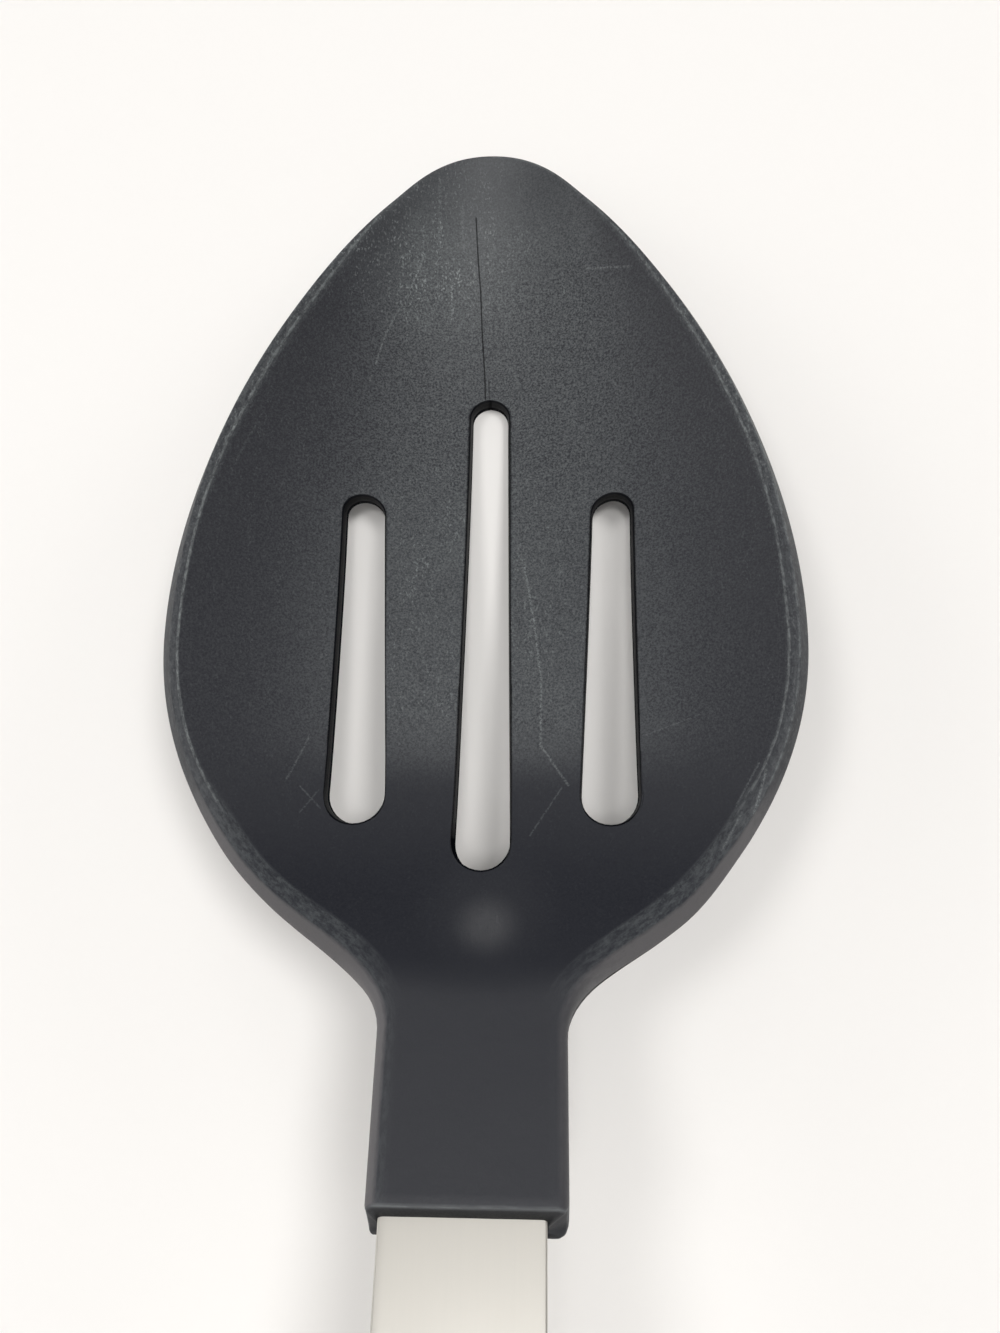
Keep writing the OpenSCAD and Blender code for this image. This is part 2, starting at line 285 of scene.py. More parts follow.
class Tongue:
    """A plate with round-ended holes, laid out in the plane of x and s: a symmetric outline round its tip,
    open at its root. Rows run across it, and columns run along it and part round the holes. The first
    row follows the outline's flat front, and the rest are straight.

    Between two neighbouring holes a column at share f of the way, at distance d from a hole of half
    width b, is pushed aside by (sqrt(d^2 + b^2) - d) (1 - f)^2, so that columns nest round the holes.
    """

    def __init__(self, outline, inset, step, front, slits, divisions, end_steps):
        stops = np.concatenate([slit.stops(end_steps) for slit in slits])
        inner_x, inner_s = outline.inset(inset)
        first = np.interp(inner_s[0] + front, inner_s, outline.run)
        run = outline.rows(inset, step, stops, first)
        x, s, nx, ns = outline.at(run)
        inset = np.interp(run, outline.run, inset + 0 * outline.run)
        row_s = s - inset * ns
        edge = x - inset * nx
        anchors = [-edge] + [slit.centre(row_s) for slit in slits] + [edge]
        widths = [0 * edge] + [slit.half_width(row_s) for slit in slits] + [0 * edge]
        groups = []
        for k, count in enumerate(divisions):
            f = np.linspace(0, 1, count + 1)[None, :]
            f = 0.6 * f + 0.4 * (1 - np.cos(math.pi * f)) / 2
            gap = (anchors[k + 1] - anchors[k])[:, None]
            sides = ((f * gap, widths[k]), ((1 - f) * gap, widths[k + 1]))
            push = [np.hypot(d, w[:, None]) - d for d, w in sides]
            groups.append(anchors[k][:, None] + f * gap + push[0] * (1 - f) ** 2 - push[1] * f ** 2)
        self.x = np.concatenate(groups, axis=1)
        self.s = np.repeat(row_s[:, None], self.x.shape[1], axis=1)
        self.splits = np.cumsum([count + 1 for count in divisions])[:-1]
        self.open = [w > 0 for w in widths[1:-1]]
        front_part = outline.run < 1.01 * first
        self.s[0] = np.interp(np.abs(self.x[0]), inner_x[front_part], inner_s[front_part])
        # The path round the outline, from the left root over the front to the right root: columns of its
        # length, and of x, s and the outward normal.
        self.front = np.delete(np.arange(self.x.shape[1]), self.splits)
        front_x = self.x[0, self.front]
        sign = np.sign(front_x)
        front_run = np.interp(np.abs(front_x), inner_x[front_part], outline.run[front_part])
        self.path_run = np.concatenate([-run[:0:-1], sign * front_run, run[1:]])[:, None]
        self.path = []
        flips = ((-1, sign), (1, 1), (-1, sign), (1, 1))
        for side, middle, (back, turned) in zip((x, s, nx, ns), outline.at(front_run), flips):
            self.path.append(np.concatenate([back * side[:0:-1], turned * middle, side[1:]])[:, None])

    def sheet(self, shell, points, **marks):
        """Adds a sheet without its holes. Where a slit is shut, its two columns are joined."""
        ids = shell.add(points, **marks)
        for split, gap in zip(self.splits, self.open):
            ids[~gap, split] = ids[~gap, split - 1]
        for part in np.split(ids, self.splits, axis=1):
            shell.grid(part)
        return ids

    def edge_ids(self, ids):
        """The sheet's outer points in the order of the path."""
        return np.concatenate([ids[:0:-1, 0], ids[0, self.front], ids[1:, -1]])

    def hole(self, k):
        """Rows and columns of the points round hole k, down its right side and back up its left side."""
        rows = np.flatnonzero(self.open[k])
        rows = np.arange(rows[0] - 1, rows[-1] + 2)
        right, left = self.splits[k], self.splits[k] - 1
        return (np.concatenate([rows[:1], rows[1:-1], rows[-1:], rows[-2:0:-1]]),
                np.concatenate([[left], np.full(len(rows) - 2, right), [left], np.full(len(rows) - 2, left)]))


def loop_path(x, s):
    """A closed clockwise loop as columns of x, s and its direction turned by a quarter, inwards."""
    dx, ds = np.roll(x, -1) - np.roll(x, 1), np.roll(s, -1) - np.roll(s, 1)
    size = np.hypot(dx, ds)
    return [values[:, None] for values in (x, s, -ds / size, dx / size)]


def joined(first, middle, last):
    """Point numbers of a row, the grid beside it and the row behind that, as one grid."""
    return np.concatenate([first[:, None], middle, last[:, None]], axis=1)


def root_ring(top, under, border):
    """Point numbers of the root's upper row, and of the whole ring round the open root."""
    row, low = [ids[-1][np.append(True, np.diff(ids[-1]) != 0)] for ids in (top, under)]
    return row, np.concatenate([row, border[-1, 1:-1], low[::-1], border[0, -2:0:-1]])


def quarter(count):
    """Shares (1 - sin a, 1 - cos a) of a quarter round, from its flat start to its upright end."""
    a = np.linspace(0, math.pi / 2, count)
    return 1 - np.sin(a), 1 - np.cos(a)


def show(name, mesh, material, node):
    """Puts a finished mesh in the scene with its material, under the root body, and hides the node's own
    part.
    """
    piece = bpy.data.objects.new(name, mesh)
    bpy.context.scene.collection.objects.link(piece)
    mesh.materials.append(material)
    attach(piece, "root")
    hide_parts(node)


# Head

class HeadShape:
    """The nylon head's surfaces. x is across, s is the distance from the tip along the axis."""

    # Control points of tip, flank and heel, as shares of half the bowl's width and of its length.
    SHARES = (
        ((0, 0), (0.18, 0), (0.27, 0.042), (0.34, 0.068)),
        ((0.34, 0.068), (0.655, 0.179), (1, 0.408), (1, 0.637)),
        ((1, 0.637), (1, 0.802), (0.7, 0.905), (0.59, 0.933)),
    )
    # The fillet ends on the neck's side, so its width shares count from the neck's edge to the rim's.
    FILLET_SHARES = ((0.45, 0.933), (0.228, 0.974), (0, 0.996), (0, 1.041))
    # Rounding of the socket's mouth.
    EDGE = 0.35 * MM

    def __init__(self, size, strip):
        self.size, self.strip = size, strip
        self.crease = size.bowl_l
        self.mouth_s = size.bowl_l + size.neck_l * math.cos(size.neck_angle)
        self.outline = self.plan_outline()
        self.inner_x, self.inner_s = self.outline.inset(self.rim_inset(self.outline.s))

    def plan_outline(self):
        """Four Bezier curves and the neck's straight side, as dense arrays."""
        size = self.size
        t = np.linspace(0, 1, 400)
        scale = np.array([size.bowl_w / 2, size.bowl_l])
        curves = [bezier(shares, t) * scale for shares in self.SHARES]
        fillet = np.array(self.FILLET_SHARES) * [(size.bowl_w - size.neck_w) / 2, size.bowl_l]
        fillet[:, 0] += size.neck_w / 2
        fillet[0] = curves[2][-1]
        curves.append(bezier(fillet, t))
        end = self.mouth_s - self.EDGE * math.cos(size.neck_angle)
        straight = np.linspace(curves[3][-1, 1], end, 200)
        curves.append(np.stack([np.full(200, size.neck_w / 2), straight], axis=-1))
        points = np.concatenate([curves[0]] + [curve[1:] for curve in curves[1:]])
        return Outline(points[:, 0], points[:, 1])

    @staticmethod
    def rim_inset(s):
        """Width of the rim, from its outermost edge to the bowl: thin at the tip, wide at the heel."""
        s = s / MM
        return (0.35 + 0.75 * ease(s, 2, 25) + 0.6 * ease(s, 40, 62) + 0.7 * ease(s, 75, 92)) * MM

    @staticmethod
    def face_width(s):
        """The part of it that the drafted outer face takes up."""
        s = s / MM
        wide = 0.25 + 0.55 * ease(s, 2, 25) + 0.4 * ease(s, 40, 62) + 0.25 * ease(s, 78, 92)
        return (wide - 0.25 * ease(s, 100, 106)) * MM

    @staticmethod
    def skew(s):
        """How far the moulding sits to the right of its axis: a little at the heel, below 0 on the neck."""
        s = s / MM
        return (0.5 * ease(s, 88, 95) * ease(-s, -101, -96) - 0.15 * ease(s, 99, 106)) * MM

    def rim_level(self, s):
        """Height of the rim: a Bezier curve up from the tip, one up to the neck, then the neck's slope."""
        z = self.size
        level, crease = z.rim_level_l, self.crease
        rise = math.tan(z.neck_angle)
        low = bezier([z.tip_h, z.tip_h + math.tan(z.rim_angle) * level / 3, z.rim_h, z.rim_h],
                     np.clip(s / level, 0, 1))
        high = bezier([z.rim_h, z.rim_h, z.neck_h - rise * (crease - level) / 3, z.neck_h],
                      np.clip((s - level) / (crease - level), 0, 1))
        return np.where(s < level, low, high) + rise * np.maximum(s - crease, 0)

    def floor_level(self, s):
        """Height of the floor on the axis: three Bezier curves from the rim's inner edge to the crease."""
        z = self.size
        start = float(self.rim_inset(np.array(0)))
        top = float(self.rim_level(np.array(start)))
        bend = math.tan(z.bend_angle)
        one = bezier([top, (top + 2 * z.wall) / 3, z.wall, z.wall],
                     np.clip((s - start) / (z.low_l - start), 0, 1))
        two = bezier([z.wall, z.wall, z.bend_h - bend * (z.bend_l - z.low_l) / 3, z.bend_h],
                     np.clip((s - z.low_l) / (z.bend_l - z.low_l), 0, 1))
        rest = self.crease - z.bend_l
        three = bezier([z.bend_h, z.bend_h + bend * rest / 3, z.neck_h - math.tan(z.heel_angle) * rest / 3,
                        z.neck_h], np.clip((s - z.bend_l) / rest, 0, 1))
        return np.where(s < z.low_l, one, np.where(s < z.bend_l, two, three))

    def drop(self, x, s):
        """How far the top lies under the rim: D (1 - |x/w|^n), with its foot at the land rounded off.

        The rounding is (v + sqrt(v^2 + k^2)) / 2, which is v well inside the bowl and 0 on the land.
        """
        inside = (s > self.rim_inset(np.array(0))) & (s < self.crease)
        depth = np.where(inside, self.rim_level(s) - self.floor_level(s), 0)
        width = np.maximum(np.interp(s, self.inner_s, self.inner_x), 0.2 * MM)
        v = depth * (1 - np.abs(x / width) ** self.size.fullness)
        k = 0.2 * MM * ease(depth, 0, 1.5 * MM)
        return (v + np.sqrt(v * v + k * k)) / 2

    def wear(self, x, s):
        """How much the bowl is scraped grey: fully along its floor, not at all up its sides and its heel.
        Over the real scraping this is also a painted reflection, which keeps the floor lighter than the heel
        and the neck.
        """
        half = np.maximum(np.interp(s, self.inner_s, self.inner_x), MM)
        start = 0.2 + 0.3 * (1 - ease(s, 14 * MM, 40 * MM)) + 0.3 * (1 - ease(s, 6 * MM, 18 * MM))
        across = 1 - ease((np.abs(x - MM) / half - start) / (0.95 - start))
        tip = 0.8 * (1 - ease(s, 3 * MM, 12 * MM))
        heel = ease(s, self.size.bend_l - 4 * MM, self.size.bend_l + 5 * MM)
        return (across + (1 - across) * tip) * (1 - 0.42 * tip) * (1 - heel)

    def grained(self, s):
        """How coarse the grain is: full on the bowl, less on the heel, nearly none on the neck."""
        s = s / MM
        less = 0.3 * ease(s, 35, 60) + 0.45 * ease(s, 70, 84) + 0.2 * ease(s, 94, 101)
        return 0.45 + 0.55 * ease(s, 4, 20) - less

    def thickness(self, s):
        """Wall thickness, growing from the bend to the neck."""
        return self.size.wall + (self.size.neck_t - self.size.wall) * ease(s, self.size.bend_l, self.crease)

    def mouth_reach(self, x, depth):
        """How far the mouth's face lies beyond its top edge, along the neck: raked, with rounded sides."""
        half = self.size.neck_w / 2
        corner = np.where(x > 0, 1.1 * MM, 0.5 * MM)
        q = np.clip((np.abs(x) - (half - corner)) / corner, 0, 1)
        rounded = corner * (1 - np.sqrt(1 - q * q)) * ease(depth, 0, 1.2 * MM)
        return depth * math.tan(self.size.mouth_rake) - rounded

    def place(self, x, s, drop, depth):
        """A point from its place on the plan, its drop below the rim and its depth square to the wall."""
        lean = self.size.neck_angle * ease(s, self.size.bend_l, self.crease)
        reach = self.mouth_reach(x, depth) * ease(s, self.mouth_s - 7 * MM, self.mouth_s)
        run, rise = math.cos(self.size.neck_angle), math.sin(self.size.neck_angle)
        y = TIP_Y - s - depth * np.sin(lean) - reach * run
        z = self.rim_level(s) - drop - depth * np.cos(lean) + reach * rise
        return np.stack([np.broadcast_to(x + self.skew(s), z.shape), y, z], axis=-1)

    def neck_place(self, x, depth, along):
        """A point in the neck's own frame: across, below its top, and beyond the mouth's top edge."""
        angle = self.size.neck_angle
        y = TIP_Y - self.mouth_s - along * math.cos(angle) - depth * math.sin(angle)
        top = self.size.neck_h + self.size.neck_l * math.sin(angle)
        z = top + along * math.sin(angle) - depth * math.cos(angle)
        return np.stack([np.broadcast_to(x, z.shape), y, z], axis=-1)

    def side_centre(self, sign):
        """The line of a side slot, which turns into half the bowl's width beyond the slot."""
        z = self.size
        first, last = z.side_start + z.slot_tip_r, z.side_stop - z.side_heel_r

        def centre(s):
            line = z.side_tip_x + (z.side_heel_x - z.side_tip_x) * (s - first) / (last - first)
            held = ease(s, z.side_start - 14 * MM, z.side_start - 3 * MM)
            held = held * ease(-s, -z.side_stop - 14 * MM, -z.side_stop - 3 * MM)
            half = np.interp(s, self.inner_s, self.inner_x) / 2
            return sign * (half + (line - half) * held)
        return centre


def head_rim(shape, tongue):
    """The rim's strip as a profile along the outline, from the top sheet's edge round to the underside.

    The bowl's own surface and the land come first. Then the outer face is a quadratic Bezier curve, nearly
    straight on the bowl and round on the neck. A short upright wall, a small quarter round and the underside
    follow, and the underside rises outwards by r (1 - r / 3 i) over the strip of width i.
    """
    x, s, nx, ns = tongue.path
    inset = sheet_inset(s)
    face = shape.face_width(s)
    lower = 0.35 * MM

    def at(a, drop, depth):
        return shape.place(x - a * nx, s - a * ns, drop, depth)

    def top(a):
        return shape.drop(x - a * nx, s - a * ns)
    base = top(inset)
    slope = np.clip((top(inset + 0.5 * MM) - base) / (0.5 * MM), 0, 0.75)
    thick = shape.thickness(s - inset * ns)

    def under(a):
        far = inset - a
        return base - slope * far * (1 - far / (3 * inset))
    flat = face + (inset - face) * np.array([0.87, 0.74, 0.61, 0.5, 0.4, 0.3, 0.2, 0.1, 0.03])[None, :]
    rows = [at(flat, top(flat), 0 * flat)]
    begin = shape.rim_inset(s)
    mm = s / MM
    heel = ease(mm, 78, 88)
    neck = ease(mm, 97, 104)
    whole = under(0) + thick
    foot = 0.85 * (whole - lower) * (1 - neck) + 1.4 * MM * neck
    t = np.linspace(0, 1, 9)[None, :]
    a = face * ((1 - t) ** 2 + 2 * t * (1 - t) * (0.5 - 0.45 * neck))
    depth = foot * (2 * t * (1 - t) * (0.4 - 0.38 * neck) + t * t)
    rows.append(at(a, 0 * a, depth))
    mix = np.array([0.35, 0.7])[None, :]
    rows.append(at(0 * mix, 0 * mix, foot * (1 - mix) + (whole - lower) * mix))
    side, down = quarter(4)
    rows.append(at(lower * side[::-1], 0 * side, whole - lower * down[::-1]))
    flat2 = inset * np.array([0.25, 0.42, 0.58, 0.74, 0.88])[None, :]
    rows.append(at(flat2, under(flat2), thick + 0 * flat2))
    inset_all = np.concatenate([flat, a], axis=1)
    blank = np.zeros((len(x), sum(row.shape[1] for row in rows) - inset_all.shape[1]))
    # The rubbed lines differ from side to side. The face's chafed grey is lightest at the heel and on the
    # neck's left, and that extra lightness is painted light on the sides that the lamps light.
    right, flank, wide = x > 0, ease(mm, 25, 50), ease(mm, 35, 60)
    outer_rub = np.where(right, 0.65 * ease(mm, 30, 45), 0.15) * (1 - heel)
    inner_rub = np.where(right, 0.3 + 0.2 * flank, 0.45 * ease(mm, 4, 14) + 0.35 * flank) * (1 - heel)
    early = np.where(right, 0.3, 0.6) * ease(mm, 5, 20) * (1 - ease(mm, 30, 60))
    line = begin + (np.where(right, 0.6, 0.25) * ease(mm, 15, 60) + early) * MM
    outer = np.exp(-((inset_all - face) / (0.13 * MM)) ** 2) * outer_rub
    fade = (0.6 - 0.3 * wide + 0.9 * heel) * MM
    zone = (1 - ease(inset_all, line, line + fade)) * (1 - neck) * ease(mm, 2, 14)
    zone = zone * (1.5 - 0.7 * wide + 0.4 * heel)
    # On the neck's top edge the zone is painted light, strongest on the left side that the lamps light.
    zone = zone + (1 - ease(inset_all, face, face + 1.2 * MM)) * neck * np.where(x < 0, 0.6, 0.1)
    pale = 1.1 * heel * (1 - neck) + neck * np.where(x < 0, 1.2, 0.3)
    marks = {
        "wear": np.concatenate([shape.wear(x - flat * nx, s - flat * ns), 0 * a], axis=1),
        "grained": shape.grained(s - inset_all * ns),
        "top": 1,
        "inner_line": inner_rub,
        "from_line": inset_all - line,
        "outer_line": outer,
        "rim_zone": zone,
        "face": np.concatenate([0 * flat, ease(np.arange(a.shape[1]), 0, 2) * pale], axis=1),
        "run": tongue.path_run,
        "inset": inset_all,
    }
    for name, values in marks.items():
        marks[name] = np.concatenate([values + 0 * inset_all, blank], axis=1)
    return np.concatenate(rows, axis=1), marks


def sheet_inset(s):
    """Where the head's rim strip ends and its sheets begin, measured in from the outline."""
    return (1.6 + 1.6 * ease(s, 5 * MM, 40 * MM)) * MM


def slot_wall(shape, x, s):
    """A slot's wall as a profile along its edge: a quarter round, the drafted wall, a quarter round below."""
    x, s, nx, ns = loop_path(x, s)
    edge, draft, lower = 0.25 * MM, 0.18 * MM, 0.2 * MM
    thick = shape.thickness(s)
    side, down = quarter(6)
    side2, down2 = quarter(4)
    mix = np.array([0.35, 0.7])
    a = np.concatenate([edge * (1 - side[1:]), edge + draft * mix, edge + draft - lower * side2])
    depth = np.concatenate([edge * down[1:] + 0 * x, edge + (thick - lower - edge) * mix,
                            thick - lower * (1 - down2)], axis=1)
    return x + a * nx, s + a * ns, depth


def socket_ring(shape, across, upright):
    """Points round the socket: across and depth, with as many as the neck's top, side, underside and side."""
    strip = shape.strip
    half = strip.strip_w / 2 + strip.seat_gap
    top, low = shape.size.roof_t, shape.size.roof_t + strip.strip_t + 2 * strip.seat_gap
    r = 0.55 * MM
    a = np.linspace(0, math.pi / 2, 12)
    line_x = np.concatenate([half - r + r * np.sin(a), half - r + r * np.cos(a)])
    line_d = np.concatenate([top + r - r * np.cos(a), low - r + r * np.sin(a)])
    run = np.concatenate([[0], np.cumsum(np.hypot(np.diff(line_x), np.diff(line_d)))])
    places = np.linspace(0, run[-1], upright + 2)[1:-1]
    side_x, side_d = np.interp(places, run, line_x), np.interp(places, run, line_d)
    row = np.linspace(r - half, half - r, across)
    x = np.concatenate([row, side_x, row[::-1], -side_x[::-1]]) - strip.strip_shift
    depth = np.concatenate([np.full(across, top), side_d, np.full(across, low), side_d[::-1]])
    return x, depth


# Columns from side to side between the head's outline and its three slots.
HEAD_DIVISIONS = (20, 13, 13, 20)


def head_mesh(size, strip):
    """The whole head as one closed surface."""
    shape = HeadShape(size, strip)
    middle = Slit(lambda s: 0 * s, size.mid_start, size.mid_stop, size.slot_tip_r, size.mid_heel_r)
    left, right = [Slit(shape.side_centre(sign), size.side_start, size.side_stop, size.slot_tip_r,
                        size.side_heel_r) for sign in (-1, 1)]
    tongue = Tongue(shape.outline, inset=sheet_inset(shape.outline.s), step=0.8 * MM, front=0.8 * MM,
                    slits=[left, middle, right], divisions=HEAD_DIVISIONS, end_steps=8)
    shell = Shell()
    x, s = tongue.x, tongue.s
    # The top mark is 1 on this upper sheet and 0 on the underside and the slot walls, where the nylon's
    # colour paints shade.
    top = tongue.sheet(shell, shape.place(x, s, shape.drop(x, s), 0 * x), wear=shape.wear(x, s),
                       grained=shape.grained(s), top=1)
    under_x, under_s = x.copy(), s.copy()
    walls = []
    for k in range(3):
        rows, columns = tongue.hole(k)
        wall_x, wall_s, depth = slot_wall(shape, x[rows, columns], s[rows, columns])
        under_x[rows, columns], under_s[rows, columns] = wall_x[:, -1], wall_s[:, -1]
        walls.append((rows, columns, shape.place(wall_x, wall_s, shape.drop(wall_x, wall_s), depth)[:, :-1]))
    thick = shape.thickness(under_s)
    under = tongue.sheet(shell, shape.place(under_x, under_s, shape.drop(under_x, under_s), thick))
    for rows, columns, points in walls:
        shell.loop(joined(top[rows, columns], shell.add(points), under[rows, columns]))
    rim_points, marks = head_rim(shape, tongue)
    border = joined(tongue.edge_ids(top), shell.add(rim_points, **marks), tongue.edge_ids(under))
    shell.grid(border)
    close_mouth(shape, shell, top, under, border)
    return shell.mesh("slotted_head_nylon")


def close_mouth(shape, shell, top, under, border):
    """The mouth's rounded edge, its raked face and the socket behind it, ring after ring."""
    row, ring = root_ring(top, under, border)
    outer = np.concatenate(shell.points)[ring]
    x, depth = socket_ring(shape, len(row), border.shape[1] - 2)
    reach = shape.mouth_reach(x, depth)
    axis = shape.neck_place(0, np.zeros(1), np.ones(1))[0] - shape.neck_place(0, np.zeros(1), np.zeros(1))[0]
    mouth = shape.neck_place(x, depth, reach)
    flat = outer + axis * shape.EDGE
    inward = mouth - flat
    inward /= np.linalg.norm(inward, axis=1)[:, None]
    soft = 0.12 * MM
    rings = [ring]
    for share in (0.5, 1):
        side = shape.EDGE * (1 - math.cos(share * math.pi / 2))
        rings.append(outer + inward * side + axis * shape.EDGE * math.sin(share * math.pi / 2))
    rings.append(mouth - inward * soft)
    rings.append(mouth - inward * soft * 0.3 - axis * soft * 0.3)
    for back in (soft, 3 * MM, shape.strip.tang_l + shape.strip.seat_gap):
        along = reach - back if back < shape.strip.tang_l else 0 * reach - back
        rings.append(shape.neck_place(x, depth, along))
    # The upper half of the rounded edge is rubbed pale. The raked face and the socket behind it get painted
    # shade, a darker colour, except on the two legs.
    leg = np.where(outer[:, 0] > 0, 0.6, 0.4) * ease(np.abs(outer[:, 0]), 8 * MM, 9 * MM)
    pale, lit = [1.6, 0.1] + [0] * 5, [1, np.maximum(leg, 0.27), leg, leg] + [0] * 3
    ids = [ring] + [shell.add(points, mouth=p, top=q) for points, p, q in zip(rings[1:], pale, lit)]
    shell.loop(np.stack(ids, axis=1))
    shell.loose.append(ids[-1])


# Handle

class StripShape:
    """The bent strip. x is across, u is the length along its middle from the far end to the tang's end."""

    def __init__(self, size, head):
        self.size = size
        neck = head.size.neck_angle
        self.neck, self.tail = neck, size.tail_angle
        middle = head.size.roof_t + size.seat_gap + size.strip_t / 2
        start = head.neck_place(0, np.array([middle]), np.array([size.lead_l]))[0]
        r = size.arch_r
        self.centre_y, self.centre_z = start[1] - r * math.sin(neck), start[2] - r * math.cos(neck)
        tail_h = self.centre_z + r * math.cos(self.tail)
        self.tail_l = (tail_h - size.strip_t / 2 / math.cos(self.tail)) / math.sin(self.tail)
        self.arch_l = r * (neck + self.tail)
        self.total = self.tail_l + self.arch_l + size.lead_l + size.tang_l
        self.outline = self.plan_outline()

    def plan_outline(self):
        """Half the strip laid flat: a rounded end |x/a|^n + |1 - u/b|^n = 1, then a taper, then straight."""
        size = self.size
        power = 2.3
        widest = size.end_w / 2
        a = np.linspace(0, math.pi / 2, 600)
        end_x = widest * np.sin(a) ** (2 / power)
        end_u = size.end_l * (1 - np.cos(a) ** (2 / power))
        # Even steps along the curve keep the first point's direction square to the axis.
        run = np.concatenate([[0], np.cumsum(np.hypot(np.diff(end_x), np.diff(end_u)))])
        even = np.linspace(0, run[-1], 400)
        end_x, end_u = np.interp(even, run, end_x), np.interp(even, run, end_u)
        u = np.linspace(size.end_l, self.total, 1500)[1:]
        narrow = self.tail_l + self.arch_l
        taper = (widest - size.strip_w / 2) * (1 - np.clip((u - size.end_l) / (narrow - size.end_l), 0, 1))
        return Outline(np.concatenate([end_x, size.strip_w / 2 + taper]), np.concatenate([end_u, u]))

    def place(self, x, u, depth):
        """A point of the bent strip: straight tail, an arc of the arch's radius, straight lead and tang."""
        u = np.asarray(u, float)
        slope = self.tail - np.clip(u - self.tail_l, 0, self.arch_l) / self.size.arch_r
        before = np.maximum(self.tail_l - u, 0)
        after = np.maximum(u - self.tail_l - self.arch_l, 0)
        lift = self.size.arch_r + self.size.strip_t / 2 - depth
        y = self.centre_y - lift * np.sin(slope) - before * math.cos(self.tail) + after * math.cos(self.neck)
        z = self.centre_z + lift * np.cos(slope) - before * math.sin(self.tail) - after * math.sin(self.neck)
        x = x - self.size.strip_shift
        return np.stack([np.broadcast_to(x, z.shape), y, z], axis=-1)


def strip_mesh(size, head):
    """The steel strip as one closed surface with rounded long edges, end and hole."""
    shape = StripShape(size, head)
    edge = 0.3 * MM
    hole_r = size.hang_r + edge
    hole = Slit(lambda u: 0 * u, size.hang_inset - hole_r, size.hang_inset + hole_r, hole_r, hole_r)
    tongue = Tongue(shape.outline, inset=1.3 * MM, step=1.5 * MM, front=0.6 * MM, slits=[hole],
                    divisions=(16, 16), end_steps=14)
    shell = Shell()
    top = tongue.sheet(shell, shape.place(tongue.x, tongue.s, 0 * tongue.x))
    under = tongue.sheet(shell, shape.place(tongue.x, tongue.s, 0 * tongue.x + size.strip_t))
    rows, columns = tongue.hole(0)
    x, u, nx, nu = loop_path(tongue.x[rows, columns], tongue.s[rows, columns])
    side, down = quarter(5)
    a = edge * (1 - side[1:])
    a = np.concatenate([a, a[::-1]])
    depth = np.concatenate([edge * down[1:], size.strip_t - edge * down[:0:-1]])
    wall = shell.add(shape.place(x + a * nx, u + a * nu, depth + 0 * x))
    shell.loop(joined(top[rows, columns], wall, under[rows, columns]))
    r, inner = size.shoulder_r, [1.05 * MM]
    side, down = quarter(8)
    a = np.concatenate([inner, r * side, r * side[::-1], inner])
    depth = np.concatenate([[0], r * down, size.strip_t - r * down[::-1], [size.strip_t]])
    x, u, nx, nu = tongue.path
    rim = shell.add(shape.place(x - a * nx, u - a * nu, depth + 0 * x))
    border = joined(tongue.edge_ids(top), rim, tongue.edge_ids(under))
    shell.grid(border)
    shell.loose.append(root_ring(top, under, border)[1])
    return shell.mesh("handle_strip_steel")


def pin_mesh(name, size, head, node):
    """A lock pin turned about its axis: a flat end, a small bevel, a straight side and a flat top."""
    low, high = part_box(node)
    angle = head.size.neck_angle
    across, centre_y, centre_z = [(low[k] + high[k]) / 2 for k in range(3)]
    half = (high.z - low.z - 2 * size.pin_r * math.sin(angle)) / math.cos(angle) / 2
    proud, bevel = 0.12 * MM, 0.2 * MM
    cut, end = bevel / size.pin_r, -half - proud
    radius = size.pin_r * np.array([0.5, 1 - cut, 1 - 0.3 * cut, 1, 1, 0.9, 0.4])
    height = np.array([end, end, end + 0.3 * bevel, end + bevel, half - bevel, half, half])
    a = np.linspace(0, 2 * math.pi, 48, endpoint=False)[:, None]
    px, py, pz = radius * np.cos(a), radius * np.sin(a), height + 0 * a
    y = centre_y + py * math.cos(angle) + pz * math.sin(angle)
    z = centre_z - py * math.sin(angle) + pz * math.cos(angle)
    shell = Shell()
    ids = shell.add(np.stack([px + across, y, z], axis=-1))
    shell.loop(ids)
    shell.loose += [ids[:, 0], ids[:, -1]]
    return shell.mesh(name)


# Finishes

